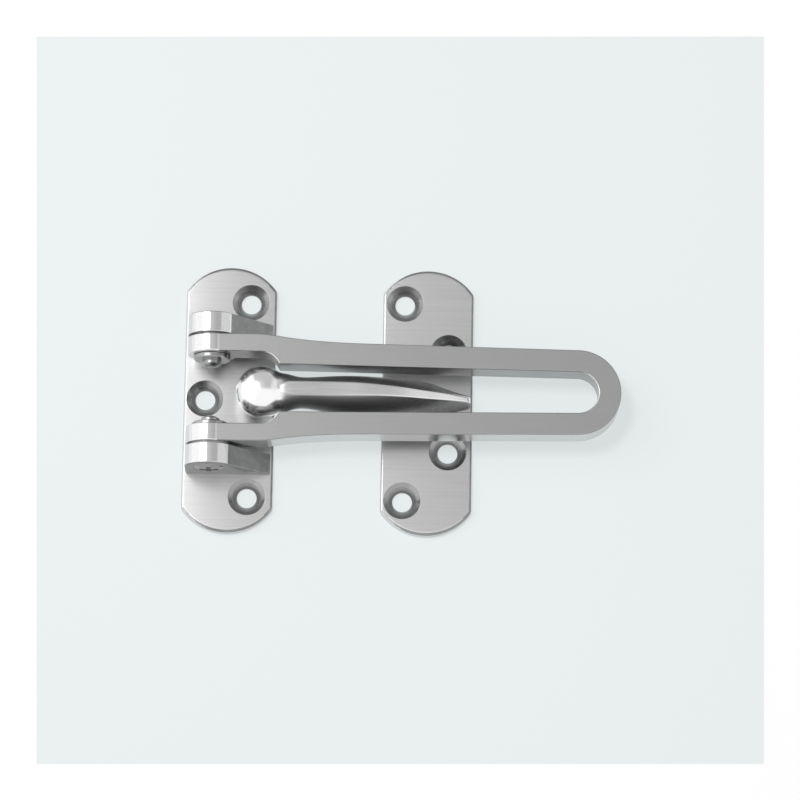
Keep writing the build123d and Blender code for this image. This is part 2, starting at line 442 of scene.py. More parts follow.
def arc(centre: tuple, radius: float, start: float, end: float, count: int) -> list:
    """Points of an arc in a plane.

    Args:
        centre: Its centre.
        radius: Its radius.
        start: First angle, in degrees.
        end: Last angle, in degrees.
        count: Number of steps.

    Returns:
        The points, both ends included.
    """
    turns = [math.radians(degrees) for degrees in spaced(start, end, count)]
    return [(centre[0] + radius * math.cos(t), centre[1] + radius * math.sin(t)) for t in turns]


def circle(centre: tuple, radius: float, count: int) -> list:
    """Points of a full circle, each one once."""
    return arc(centre, radius, 0, 360 - 360 / count, count - 1)


def rounding(radius: float, count: int) -> list:
    """Steps of a rounded edge, as pairs of how far inside a piece's side and how far below its face."""
    turns = spaced(0, math.pi / 2, count)
    return [(radius * (1 - math.cos(t)), radius * (1 - math.sin(t))) for t in turns]


@dataclass(frozen=True)
class PlateShape:
    """One mounting plate with its countersunk holes.

    Attributes:
        name: Name of the piece.
        centre_x: Middle of the plate along X.
        holes: Places of the holes, from the plate's centre.
        half_width: Half its width, along X.
        half_length: Half its length, along Y.
        thickness: Its thickness in the middle.
        end_radius: Radius of its arched ends.
        corner_radius: Radius of the corners between the ends and the long sides.
        end_steps: Steps round one end.
        corner_steps: Steps round one corner.
        edge_round: Height of the rounded edge, and its width at the long sides.
        edge_steps: Steps of the rounded edge.
        back_edge: Width of the small chamfer at the back.
        end_share: How much wider the rounding is at the plate's ends.
        hole_radius: Radius of the screw holes.
        sink_radius: Radius of the countersinks at the face.
        hole_steps: Steps round one hole.
        lip: Width of the broken edges of a hole, at the face and at the back.
        throat: Width of the broken edge where the countersink meets the hole.
        sink_step: Radius and depth of each point of the shallow step in the countersink.
        crown: How much lower the buffed face lies at its long edges than in the middle.
        crown_cuts: Strips into which the face is cut to follow the crown.
        crown_up: How far up a face's normal has to point for the cuts.
        crown_error: Height within which a point counts as on the crowned face.
    """

    name: str
    centre_x: float
    holes: tuple
    half_width: float = 12.0
    half_length: float = 36.0
    thickness: float = 3.0
    end_radius: float = 14.4
    corner_radius: float = 2.0
    end_steps: int = 40
    corner_steps: int = 4
    edge_round: float = 0.65
    edge_steps: int = 7
    back_edge: float = 0.15
    end_share: float = 0.8
    hole_radius: float = 2.6
    sink_radius: float = 4.85
    hole_steps: int = 72
    lip: float = 0.1
    throat: float = 0.08
    sink_step: tuple = ((3.79, 0.99), (3.76, 1.02), (3.70, 1.16), (3.67, 1.19))
    crown: float = 0.28
    crown_cuts: int = 16
    crown_up: float = 0.95
    crown_error: float = 0.005

    def outline(self, inset: float) -> list:
        """Outline of the plate, moved inwards.

        Args:
            inset: How far inwards.

        Returns:
            Its points, anticlockwise from above.
        """
        arc_y = self.half_length - self.end_radius
        corner_x = self.half_width - self.corner_radius
        reach = self.end_radius - self.corner_radius
        corner_y = arc_y + math.sqrt(reach**2 - corner_x**2)
        meet = math.degrees(math.atan2(corner_y - arc_y, corner_x))
        corner = [meet * i / self.corner_steps for i in range(self.corner_steps + 1)]
        arch = [meet + (180 - 2 * meet) * i / self.end_steps for i in range(1, self.end_steps)]
        bends = [(corner_x, corner_y, self.corner_radius, degrees) for degrees in corner]
        bends += [(0.0, arc_y, self.end_radius, degrees) for degrees in arch]
        bends += [(-corner_x, corner_y, self.corner_radius, 180 - meet + degrees) for degrees in corner]
        upper = []
        for u, v, radius, degrees in bends:
            turn = math.radians(degrees)
            reach = radius - inset * (1 + self.end_share * math.sin(turn) ** 2)
            upper.append((u + reach * math.cos(turn), v + reach * math.sin(turn)))
        both = upper + [(-x, -y) for x, y in upper]
        return [(self.centre_x + x, y) for x, y in both]

    def liner(self) -> list:
        """Profile of one hole's wall from the front face to the back.

        Returns:
            Pairs of radius and height.
        """
        hole, low = self.hole_radius, self.thickness - (self.sink_radius - self.hole_radius)
        wall = [(self.sink_radius + self.lip * out, self.thickness - self.lip * down)
                for out, down in ((1.0, 0.0), (0.35, 0.2), (-0.6, 1.05))]
        wall += [(radius, self.thickness - depth) for radius, depth in self.sink_step]
        wall += [(hole + self.throat, low + self.throat), (hole, low - self.throat / 2)]
        return wall + [(hole, self.lip), (hole + self.lip, 0.0)]

    def crown_normal(self, point: Vector) -> Vector | None:
        """Normal of the crowned face.

        Args:
            point: A point of the plate, in metres.

        Returns:
            The normal there, or nothing if the point isn't on that face.
        """
        share = (point.x / MM - self.centre_x) / self.half_width
        if abs(point.z / MM - self.thickness + self.crown * share**2) > self.crown_error:
            return None
        return Vector((2 * self.crown * share / self.half_width, 0.0, 1.0)).normalized()

    def buff(self, plate: Object) -> None:
        """Lower the face towards its long edges, as buffing does.

        Args:
            plate: The plate with its holes.
        """
        work = bmesh.new()
        work.from_mesh(plate.data)
        for i in range(1, self.crown_cuts):
            x = (self.centre_x + self.half_width * (2 * i / self.crown_cuts - 1)) * MM
            flat = [face for face in work.faces if face.normal.z > self.crown_up]
            edges = {edge for face in flat for edge in face.edges}
            points = {point for face in flat for point in face.verts}
            parts = [*points, *edges, *flat]
            bmesh.ops.bisect_plane(work, geom=parts, plane_co=(x, 0, 0), plane_no=(1, 0, 0))
        for point in work.verts:
            if point.co.z > self.thickness / 2 * MM:
                share = (point.co.x / MM - self.centre_x) / self.half_width
                point.co.z -= self.crown * share**2 * MM
        work.to_mesh(plate.data)
        work.free()

    def build(self, face: Material, edge: Material, side: Material, sink: Material) -> Object:
        """Make the plate.

        Args:
            face: Finish of its face and of the edge that lies on the left.
            edge: Painted shade on the rest of the rounded edge, a darker copy of the metal.
            side: Painted light on the sides below it, a lighter copy of the metal.
            sink: Painted shade in the countersinks, a darker copy of the metal.

        Returns:
            The plate.
        """
        shell = Shell()
        levels = [(self.back_edge, 0.0), (0.0, self.back_edge)]
        steps = rounding(self.edge_round, self.edge_steps)
        levels += [(inset, self.thickness - drop) for inset, drop in steps]
        rings = shell.stack([[(x, y, z) for x, y in self.outline(inset)] for inset, z in levels])
        profile = self.liner()
        tops, bottoms = [], []
        for x, y in self.holes:
            for kept, (radius, z) in ((tops, profile[0]), (bottoms, profile[-1])):
                rim = circle((self.centre_x + x, y), radius, self.hole_steps)
                kept.append(shell.ring([(u, v, z) for u, v in rim]))
        shell.fill([rings[-1], *tops])
        shell.fill([rings[0], *bottoms])
        plate = shell.to_object(self.name, face)
        # Painted shade: the rounded edge is darker except where it faces left.
        coat(plate, edge, lambda normal, centre: UPRIGHT < normal.z < FLAT and normal.x > -UPRIGHT)
        # Painted light: the upright sides are lighter.
        coat(plate, side, lambda normal, centre: abs(normal.z) <= UPRIGHT)
        wall, marks = Shell(), Shell()
        wall.stack([[(u, v, z) for u, v in circle((0, 0), radius, self.hole_steps)] for radius, z in profile])
        marks.ring([(self.centre_x + x, y, 0.0) for x, y in self.holes])
        liner = wall.to_object(f"{self.name}_liner", sink)
        places = marks.to_object(f"{self.name}_places", face)
        HoleLiners(liner, places, sink).apply(plate)
        for helper in (liner, places):
            bpy.data.objects.remove(helper)
        self.buff(plate)
        return settle(plate, exact=self.crown_normal)


@dataclass(frozen=True)
class HoleLiners:
    """Geometry Nodes that put one wall into each hole of a plate.

    Attributes:
        liner: The wall of one hole, at the origin.
        places: An object with one point for each hole.
        finish: Material of the walls, whose darker metal is painted shade.
        weld: Distance within which edges are joined, in millimetres.
    """

    liner: Object
    places: Object
    finish: Material
    weld: float = 0.002

    def tree(self) -> NodeTree:
        """Make the node tree.

        Returns:
            The tree.
        """
        tree = bpy.data.node_groups.new("hole_liners", "GeometryNodeTree")
        names = {"Geometry": "Geometry", "Places": "Object", "Liner": "Object", "Finish": "Material"}
        for name, kind in (names | {"Weld distance": "Float"}).items():
            tree.interface.new_socket(name, in_out="INPUT", socket_type=f"NodeSocket{kind}")
        tree.interface.new_socket("Geometry", in_out="OUTPUT", socket_type="NodeSocketGeometry")
        given = tree.nodes.new("NodeGroupInput").outputs
        points = add_node(tree, "GeometryNodeObjectInfo", "Geometry", {"Object": given["Places"]})
        wall = add_node(tree, "GeometryNodeObjectInfo", "Geometry", {"Object": given["Liner"]})
        inputs = {"Points": points, "Instance": wall}
        copies = add_node(tree, "GeometryNodeInstanceOnPoints", "Instances", inputs)
        real = add_node(tree, "GeometryNodeRealizeInstances", "Geometry", {"Geometry": copies})
        inputs = {"Geometry": real, "Material": given["Finish"]}
        walls = add_node(tree, "GeometryNodeSetMaterial", "Geometry", inputs)
        join = add_node(tree, "GeometryNodeJoinGeometry", "Geometry", {"Geometry": given["Geometry"]})
        feed(join.node, {"Geometry": walls})
        inputs = {"Geometry": join, "Distance": given["Weld distance"]}
        weld = add_node(tree, "GeometryNodeMergeByDistance", "Geometry", inputs)
        feed(tree.nodes.new("NodeGroupOutput"), {"Geometry": weld})
        return tree

    def apply(self, plate: Object) -> None:
        """Put the tree on a plate and bake it.

        Args:
            plate: The plate, with open holes.
        """
        step = plate.modifiers.new("hole_liners", "NODES")
        step.node_group = self.tree()
        values = {"Places": self.places, "Liner": self.liner, "Finish": self.finish}
        values["Weld distance"] = self.weld * MM
        for item in step.node_group.interface.items_tree:
            if item.in_out == "INPUT" and item.name in values:
                step[item.identifier] = values[item.name]
        bake(plate)


@dataclass(frozen=True)
class LugShape:
    """The two hinge lugs of the base plate.

    Attributes:
        axis_x: Place of the hinge axis along X.
        axis_z: Its height.
        radius: Radius of the round top.
        inner_y: Distance of the inner side from the middle of the guard.
        outer_y: Distance of the outer side.
        leave: Degrees above +X at which the top passes into the hollow flank.
        end: Place along X and height of the flank's foot.
        root_z: Height of the underside, which is inside the plate.
        root_reach: How far past the axis the underside's points start.
        root_pitch: Distance between them.
        root_points: Their number.
        back_steps: Steps of the upright back.
        top_steps: Steps round the top.
        flank_steps: Steps along the flank.
        edge_round: Radius of the edges.
        edge_steps: Steps of the rounded edges.
        bore: Radius of the pin's hole.
        bore_edge: Width of the broken edge of the hole.
        head: Radius of the sink for the pin's head.
        head_lip: Width and depth of the broken edge of the sink.
        shade_reach: How far the painted shade of the flank reaches onto the top.
        shade_aside: How far sideways a normal points at least on the sides in painted shade.
    """

    axis_x: float = -50.0
    axis_z: float = 10.5
    radius: float = 6.5
    inner_y: float = 14.8
    outer_y: float = 20.4
    leave: float = 39.0
    end: tuple = (-34.3, 3.0)
    root_z: float = 1.5
    root_reach: float = 12.0
    root_pitch: float = 2.0
    root_points: int = 9
    back_steps: int = 8
    top_steps: int = 48
    flank_steps: int = 24
    edge_round: float = 0.35
    edge_steps: int = 4
    bore: float = 2.5
    bore_edge: float = 0.05
    head: float = 4.15
    head_lip: tuple = (0.06, 0.04)
    shade_reach: float = 0.1
    shade_aside: float = 0.5

    def outline(self, inset: float) -> list:
        """Outline of a lug in the plane of X and Z, moved inwards.

        Args:
            inset: How far inwards.

        Returns:
            Its points, clockwise seen from -Y.
        """
        centre = (self.axis_x, self.axis_z)
        turn = math.radians(self.leave)
        start = Vector((centre[0] + self.radius * math.cos(turn), centre[1] + self.radius * math.sin(turn)))
        out = Vector((math.cos(turn), math.sin(turn)))
        gap = start - Vector(self.end)
        flank = -gap.length_squared / (2 * out.dot(gap))
        middle = start + out * flank
        first = math.degrees(math.atan2(start.y - middle.y, start.x - middle.x))
        last = math.degrees(math.atan2(self.end[1] - middle.y, self.end[0] - middle.x))
        back_x = self.axis_x - self.radius + inset
        back = [(back_x, z) for z in spaced(self.root_z, self.axis_z, self.back_steps)[:-1]]
        top = arc(centre, self.radius - inset, 180, self.leave, self.top_steps)
        slope = arc(tuple(middle), flank + inset, first, last, self.flank_steps)[1:]
        root_x = self.axis_x + self.root_reach
        root = [(root_x - self.root_pitch * i, self.root_z) for i in range(self.root_points)]
        return back + top + slope + [(self.end[0], self.root_z)] + root

    def build(self, metal: Material, shade_metal: Material) -> Object:
        """Make both lugs.

        Args:
            metal: Finish of their round tops.
            shade_metal: Painted shade on their sides and sloping flanks, a darker copy of the metal.

        Returns:
            The lugs as one piece.
        """
        shell = Shell()
        angles = [math.atan2(z - self.axis_z, x - self.axis_x) for x, z in self.outline(self.edge_round)]
        sink = self.outer_y - (self.head - self.bore)
        lip_width, lip_depth = self.head_lip
        hole = [(self.bore + self.bore_edge, self.inner_y), (self.bore, self.inner_y + self.bore_edge)]
        hole += [(self.bore, sink), (self.head, self.outer_y - lip_depth)]
        hole += [(self.head + lip_width, self.outer_y)]
        edge = rounding(self.edge_round, self.edge_steps)
        sides = [(inset, self.outer_y - drop) for inset, drop in reversed(edge)]
        sides += [(inset, self.inner_y + drop) for inset, drop in edge]
        for side in (1, -1):
            rows = [[(self.axis_x + r * math.cos(a), side * y, self.axis_z + r * math.sin(a)) for a in angles]
                    for r, y in hole]
            rows += [[(x, side * y, z) for x, z in self.outline(inset)] for inset, y in sides]
            rings = shell.stack(rows)
            shell.band(rings[-1], rings[0])
        lugs = shell.to_object("base_lugs", metal)
        # Painted shade: the sides and the flank get the darker metal.
        shade_x = self.axis_x + self.radius * math.cos(math.radians(self.leave)) - self.shade_reach
        coat(lugs, shade_metal, lambda normal, centre: abs(normal.y) > self.shade_aside or centre.x > shade_x)
        return settle(lugs)


@dataclass(frozen=True)
class BarShape:
    """The slotted swing bar with its two barrels.

    Attributes:
        axis_x: Place of the hinge axis along X.
        axis_z: Its height.
        front_z: Height of the flat front.
        thickness: Thickness of the flat bar.
        hinge_half: Half width of the bar at the hinge.
        knots: Points of the outline between the hinge and the end: place, half width and slope.
        end_x: Centre of the round end.
        end_outer: Radius of the end.
        end_inner: Radius of the slot's end, and its half width there.
        slot_half: Half width of the slot behind the pocket.
        pocket_half: Half width of the gap between the arms at the hinge.
        pocket_corner: Centre of the upper corner at which the gap narrows to the slot.
        pocket_round: Radius of that corner.
        steps: Steps along the arms, round the corner, along the shoulder and along the rest.
        end_steps: Steps round the end.
        edge_round: Radius of the edges.
        edge_steps: Steps of the rounded edges.
        barrel: Radius of the barrels.
        barrel_gap: How far the barrels' end faces lie inside the flat bar's.
        barrel_round: Radius of the barrels' edges.
        barrel_steps: Steps round a barrel.
        bore: Radius of the hole for the pin.
        bore_edge: Width of the broken edge of the hole.
        barrel_reach: How far past the axis the barrels' finish reaches.
        wall_up: How far up a normal points at most on the slot's walls.
        bright_up: How far up a normal points at least on the slot's edges with a painted highlight.
        bright_back: How far towards the hinge it points there.
    """

    axis_x: float = -50.0
    axis_z: float = 10.5
    front_z: float = 16.8
    thickness: float = 8.2
    hinge_half: float = 14.4
    knots: tuple = ((-38.0, 14.4, 0.0), (-28.0, 13.3, -0.117), (-8.0, 12.2, -0.0148))
    end_x: float = 46.1
    end_outer: float = 11.4
    end_inner: float = 5.5
    slot_half: float = 6.4
    pocket_half: float = 9.7
    pocket_corner: tuple = (-37.1, 4.2)
    pocket_round: float = 5.5
    steps: tuple = (12, 20, 28, 14)
    end_steps: int = 64
    edge_round: float = 0.3
    edge_steps: int = 4
    barrel: float = 6.5
    barrel_gap: float = 0.02
    barrel_round: float = 0.35
    barrel_steps: int = 144
    bore: float = 2.55
    bore_edge: float = 0.1
    barrel_reach: float = 1.65
    wall_up: float = 0.8
    bright_up: float = 0.1
    bright_back: float = 0.25

    def outer_y(self, x: float) -> float:
        """Half width of the bar's outline.

        Args:
            x: Place along the bar.

        Returns:
            The half width there.
        """
        knots = [*self.knots, (self.end_x, self.end_outer, self.knots[-1][2])]
        if x <= knots[0][0]:
            return self.hinge_half
        for (x0, y0, m0), (x1, y1, m1) in zip(knots, knots[1:]):
            if x <= x1:
                span = x1 - x0
                t = (x - x0) / span
                near, far = (1 + 2 * t) * (1 - t) ** 2, ease(t)
                return near * y0 + far * y1 + span * (t * (1 - t) ** 2 * m0 - t * t * (1 - t) * m1)
        return self.end_outer

    def slot_start(self) -> float:
        """Place at which the pocket's corner passes into the slot."""
        corner_x, corner_y = self.pocket_corner
        return corner_x + math.sqrt(self.pocket_round**2 - (self.slot_half - corner_y) ** 2)

    def inner_y(self, x: float) -> float:
        """Half width of the slot.

        Args:
            x: Place along the bar.

        Returns:
            The half width there.
        """
        corner_x, corner_y = self.pocket_corner
        slot_x = self.slot_start()
        if x <= corner_x:
            return self.pocket_half
        if x <= slot_x:
            return corner_y + math.sqrt(self.pocket_round**2 - (x - corner_x) ** 2)
        return self.slot_half + (self.end_inner - self.slot_half) * (x - slot_x) / (self.end_x - slot_x)

    def stations(self) -> list:
        """Places along the bar's upper half.

        Returns:
            The places along X, from the hinge axis to the start of the end arc.
        """
        corner_x, corner_y = self.pocket_corner
        shoulder_x = self.knots[-1][0]
        arm, corner, shoulder, rest = self.steps
        bend = math.degrees(math.acos((self.slot_half - corner_y) / self.pocket_round))
        places = spaced(self.axis_x, corner_x, arm)[:-1]
        places += [corner_x + self.pocket_round * math.sin(math.radians(a)) for a in spaced(0, bend, corner)]
        places += spaced(places[-1], shoulder_x, shoulder)[1:]
        return places + spaced(shoulder_x, self.end_x, rest)[1:]

    def edges(self) -> tuple:
        """Both edges of the whole bar, from the upper barrel round the end to the lower one.

        Returns:
            The outer points and the inner points, paired.
        """
        places = self.stations()
        outer = [(x, self.outer_y(x)) for x in places]
        inner = [(x, self.inner_y(x)) for x in places]
        for reach, row in ((self.end_outer, outer), (self.end_inner, inner)):
            back = [(x, -y) for x, y in reversed(row)]
            row += arc((self.end_x, 0.0), reach, 90, -90, self.end_steps)[1:-1] + back
        return outer, inner

    @staticmethod
    def inset(row: list, depth: float, side: int) -> list:
        """Move a row of points towards the metal.

        Args:
            row: The points.
            depth: How far they move.
            side: 1 if the metal is on the right of the row, -1 if it is on the left.

        Returns:
            The moved points.
        """
        moved = []
        for i, (x, y) in enumerate(row):
            ahead, behind = row[min(i + 1, len(row) - 1)], row[max(i - 1, 0)]
            along = Vector((ahead[0] - behind[0], ahead[1] - behind[1])).normalized()
            moved.append((x + along.y * depth * side, y - along.x * depth * side))
        return moved

    def in_slot(self, normal: Vector, centre: Vector) -> bool:
        """Tell whether a face is a wall of the slot.

        Args:
            normal: The face's normal.
            centre: Its centre, in millimetres.

        Returns:
            True for the slot's walls.
        """
        middle = Vector((max(centre.x - self.end_x, 0.0), centre.y, 0.0))
        past_barrels = centre.x > self.axis_x + self.barrel_reach
        return abs(normal.z) < self.wall_up and normal.dot(middle) < 0 and past_barrels

    def is_side(self, normal: Vector, centre: Vector) -> bool:
        """Tell whether a face is on the bar's outer side."""
        return abs(normal.z) < UPRIGHT and not self.in_slot(normal, centre)

    def is_bright(self, normal: Vector, centre: Vector) -> bool:
        """Tell whether a face is on a barrel, or on a slot edge facing the hinge as a painted highlight."""
        on_edge = self.bright_up < normal.z < FLAT and normal.x < -self.bright_back
        return on_edge or centre.x < self.axis_x + self.barrel_reach

    def add_barrels(self, shell: Shell) -> None:
        """Add both barrels to a shell.

        Args:
            shell: The shell.
        """
        near, far = self.pocket_half + self.barrel_gap, self.hinge_half - self.barrel_gap
        edge = rounding(self.barrel_round, self.edge_steps)
        wide = self.bore + self.bore_edge
        profile = [(self.bore, near + self.bore_edge), (wide, near)]
        profile += [(self.barrel - inset, near + drop) for inset, drop in reversed(edge)]
        profile += [(self.barrel - inset, far - drop) for inset, drop in edge]
        profile += [(wide, far), (self.bore, far - self.bore_edge)]
        for side in (1, -1):
            rows = []
            for radius, y in profile:
                rim = circle((self.axis_x, self.axis_z), radius, self.barrel_steps)
                rows.append([(x, side * y, z) for x, z in rim])
            rings = shell.stack(rows)
            shell.band(rings[-1], rings[0])

    def build(
        self, metal: Material, barrels: Material, sides: Material, edges: Material, walls: Material
    ) -> Object:
        """Make the bar.

        Args:
            metal: Finish of its flat faces.
            barrels: Finish of the barrels, and a painted highlight on the slot's edges that face the hinge.
            sides: Painted light on the outer side, a lighter copy of the metal.
            edges: Painted shade on the rounded edges, a darker copy of the metal.
            walls: Painted shade on the slot's walls, a darker copy of the metal.

        Returns:
            The bar.
        """
        shell = Shell()
        outer, inner = self.edges()
        low, high = self.front_z - self.thickness, self.front_z
        steps = rounding(self.edge_round, self.edge_steps)
        upwards = [(inset, low + drop) for inset, drop in reversed(steps)]
        upwards += [(inset, high - drop) for inset, drop in steps]
        loops = []
        for row, side, levels in ((outer, 1, upwards), (inner, -1, upwards[::-1])):
            for inset, z in levels:
                loops.append([(x, y, z) for x, y in self.inset(row, inset, side)])
        rings = shell.stack([list(points) for points in zip(*loops)])
        for ring in (rings[0], rings[-1]):
            shell.faces.append(tuple(ring))
        self.add_barrels(shell)
        bar = shell.to_object("bar_body", metal)
        # Painted shade on the rounded edges.
        coat(bar, edges, lambda normal, centre: UPRIGHT <= abs(normal.z) < FLAT)
        # Painted light on the outer side.
        coat(bar, sides, self.is_side)
        # Painted shade on the slot's walls.
        coat(bar, walls, self.in_slot)
        # The barrels are polished; the slot edges facing the hinge get it as a painted highlight.
        coat(bar, barrels, self.is_bright)
        return settle(bar)


def smooth_row(xs: tuple, ys: tuple) -> Callable[[float], float]:
    """Pass a smooth curve through points.

    Args:
        xs: Places, rising.
        ys: Values there.

    Returns:
        The curve as a function.
    """
    n = len(xs)
    rows = np.zeros((n, n))
    right = np.zeros(n)
    rows[0, 0] = rows[-1, -1] = 1.0
    for i in range(1, n - 1):
        before, after = xs[i] - xs[i - 1], xs[i + 1] - xs[i]
        rows[i, i - 1 : i + 2] = before, 2 * (before + after), after
        right[i] = 6 * ((ys[i + 1] - ys[i]) / after - (ys[i] - ys[i - 1]) / before)
    bend = np.linalg.solve(rows, right)

    def curve(x: float) -> float:
        """Value of the curve.

        Args:
            x: A place.

        Returns:
            The value there.
        """
        i = min(max(int(np.searchsorted(xs, x)) - 1, 0), n - 2)
        span = xs[i + 1] - xs[i]
        a, b = (xs[i + 1] - x) / span, (x - xs[i]) / span
        curved = (a**3 - a) * bend[i] + (b**3 - b) * bend[i + 1]
        return float(a * ys[i] + b * ys[i + 1] + curved * span**2 / 6)

    return curve


def soft_max(a: float, b: float, width: float) -> float:
    """The larger of two values, with a rounded change where they differ by less than a width."""
    near = max(1 - abs(a - b) / width, 0.0)
    return max(a, b) + width / 4 * near * near


@dataclass(frozen=True)
class ArmShape:
    """The leaf-shaped arm of the catch with the ball at its end.

    Attributes:
        ball_x: Place of the ball along X.
        ball_z: Height of its centre.
        ball_radius: Its radius.
        bulge: How far the arm's flanks bulge, as a share of their chord.
        quarter: The same share for a quarter of a circle.
        tip_round: Radius of the tip.
        sections: Cross-sections of the arm, each with its place, its half width, the heights of its widest
            line, its crest and its underside, and the half width of its flat crest.
        neck: Length over which the neck's section changes to the arm's.
        melt: Difference in size within which the ball and the neck blend.
        least_flat: Least half width of the flat crest.
        tip_edge: Least distance of the flat crest from the arm's sides at the tip.
        corner: Rounding between the flanks and the crest.
        flank_steps: Steps of a flank.
        corner_steps: Steps of that rounding.
        crest_steps: Steps of the flat crest.
        under_steps: Steps of the underside.
        body_steps: Steps along the arm.
        ball_fade: Places between which the ball's polish sets in.
        crest_light_fade: Places between which the crest's painted light rises to full, towards the tip.
        crest_least_light: The crest's painted light before that.
        crest_edge: How far outside the flat crest its painted light sets in, and where it is full.
        flank_light_fade: Places between which the flanks' painted light sets in; towards the tip, painted
            shade.
        flank_light: The flanks' painted light.
    """

    ball_x: float = -36.6
    ball_z: float = 11.0
    ball_radius: float = 6.85
    bulge: float = 0.055
    quarter: float = (math.sqrt(2) - 1) / 2
    tip_round: float = 0.8
    sections: tuple = (
        (-33.0, 5.45, 11.0, 16.3, 5.6, 1.5),
        (-30.0, 5.0, 11.2, 16.55, 5.9, 1.7),
        (-27.0, 4.25, 11.3, 16.6, 6.15, 1.8),
        (-23.5, 4.3, 10.8, 16.6, 5.9, 1.8),
        (-19.0, 4.9, 9.7, 16.6, 4.95, 1.8),
        (-14.0, 5.45, 8.35, 16.55, 3.75, 1.75),
        (-9.0, 5.75, 6.9, 16.3, 2.6, 1.6),
        (-4.0, 5.9, 5.35, 15.4, 1.75, 1.4),
        (1.0, 5.9, 4.2, 13.9, 1.3, 1.25),
        (6.0, 5.4, 3.4, 11.8, 1.1, 1.1),
        (10.5, 4.05, 3.1, 10.0, 1.0, 1.0),
        (14.5, 2.6, 3.0, 8.1, 1.0, 0.85),
        (18.3, 1.5, 3.0, 6.0, 1.0, 0.7),
    )
    neck: float = 3.5
    melt: float = 0.5
    least_flat: float = 0.02
    tip_edge: float = 0.05
    corner: float = 0.3
    flank_steps: int = 24
    corner_steps: int = 4
    crest_steps: int = 6
    under_steps: int = 36
    body_steps: int = 120
    ball_fade: tuple = (-29.5, -32.0)
    crest_light_fade: tuple = (-22.0, 8.0)
    crest_least_light: float = 0.22
    crest_edge: tuple = (0.15, -0.05)
    flank_light_fade: tuple = (7.0, -5.0)
    flank_light: float = 0.24

    def section(
        self, half: float, widest: float, crest: float, under: float, flat: float, bulge: float
    ) -> list:
        """Points round one cross-section.

        Args:
            half: Half width.
            widest: Height of the widest line.
            crest: Height of the crest.
            under: Height of the underside.
            flat: Half width of the flat crest.
            bulge: How far the flanks bulge, as a share of their chord.

        Returns:
            Pairs of (y, z), all the way round.
        """
        start, end = Vector((half, widest)), Vector((flat, crest))
        chord = (end - start).length
        along = (end - start) / chord
        out = Vector((along.y, -along.x))
        turn = 2 * math.atan(2 * bulge)
        radius = chord / (2 * math.sin(turn))
        middle = (start + end) / 2 - out * radius * math.cos(turn)
        cut = min(self.corner, flat / 2)
        flank = [tuple(middle + radius * (math.cos(t) * out + math.sin(t) * along))
                 for t in spaced(-turn, turn - cut / radius, self.flank_steps)]
        near, far = Vector(flank[-1]), Vector((flat - cut, crest))
        flank += [tuple((1 - t) ** 2 * near + 2 * t * (1 - t) * end + t * t * far)
                  for t in spaced(0, 1, self.corner_steps)[1:]]
        top = [(y, crest) for y in spaced(flat - cut, cut - flat, self.crest_steps)[1:-1]]
        below = [(half * math.cos(t), widest - (widest - under) * math.sin(t))
                 for t in spaced(math.pi, 0, self.under_steps)[1:-1]]
        return flank + top + [(-y, z) for y, z in reversed(flank)] + below

    def polish_and_painted_light(self, piece: Object, crest: Callable[[float], float]) -> None:
        """Mark polish on the ball, painted light rising along the crest and painted shade on the flanks.

        Args:
            piece: The arm with its ball.
            crest: Half width of the flat crest along X.
        """
        shares = piece.data.attributes.new("polish_and_painted_light", "FLOAT", "POINT")
        outside, inside = self.crest_edge
        for i, point in enumerate(piece.data.vertices):
            x, y, _ = point.co / MM
            edge = crest(max(x, self.sections[0][0]))
            crest_light = 0.0
            # Painted light on the crest, rising towards the tip.
            if point.normal.z > 0:
                crest_light = self.crest_least_light + (1 - self.crest_least_light) * fade(x, *self.crest_light_fade)
            shares.data[i].value = max(
                ease(fade(x, *self.ball_fade)),
                crest_light * fade(abs(y), edge + outside, edge + inside),
                self.flank_light * fade(x, *self.flank_light_fade),
            )

    def places(self) -> list:
        """Places of all cross-sections along X.

        Returns:
            The places, from the ball's far side to the tip.
        """
        bend = self.sections[-1][0] - self.tip_round
        ball = [self.ball_x - self.ball_radius * math.cos(math.radians(a)) for a in range(2, 122, 2)]
        tip = [bend + self.tip_round * math.sin(math.radians(a)) for a in range(15, 91, 15)]
        return ball + spaced(ball[-1], bend, self.body_steps)[1:] + tip

    def measures(self, x: float, curves: list) -> tuple:
        """Measures of one cross-section.

        Args:
            x: Its place.
            curves: Each measure of the arm along X.

        Returns:
            What `section` takes.
        """
        ball = math.sqrt(max(self.ball_radius**2 - (x - self.ball_x) ** 2, 0.0))
        start, bend = self.sections[0][0], self.sections[-1][0] - self.tip_round
        if x < start:
            return ball, self.ball_z, self.ball_z + ball, self.ball_z - ball, self.least_flat, self.quarter
        half, widest, crest, under, flat = (curve(x) for curve in curves)
        past = max(x - bend, 0.0) / self.tip_round
        cut = self.tip_round * (1 - math.sqrt(max(1 - past * past, 0.0)))
        half, crest, flat = half - cut, crest - cut, min(flat, half - cut - self.tip_edge)
        mixed = ease(fade(x, start, start + self.neck))
        return (
            soft_max(half, ball, self.melt),
            widest,
            soft_max(crest, self.ball_z + ball if ball > 0 else -math.inf, self.melt),
            -soft_max(-under, ball - self.ball_z if ball > 0 else -math.inf, self.melt),
            max(flat * mixed, self.least_flat),
            self.quarter + (self.bulge - self.quarter) * mixed,
        )

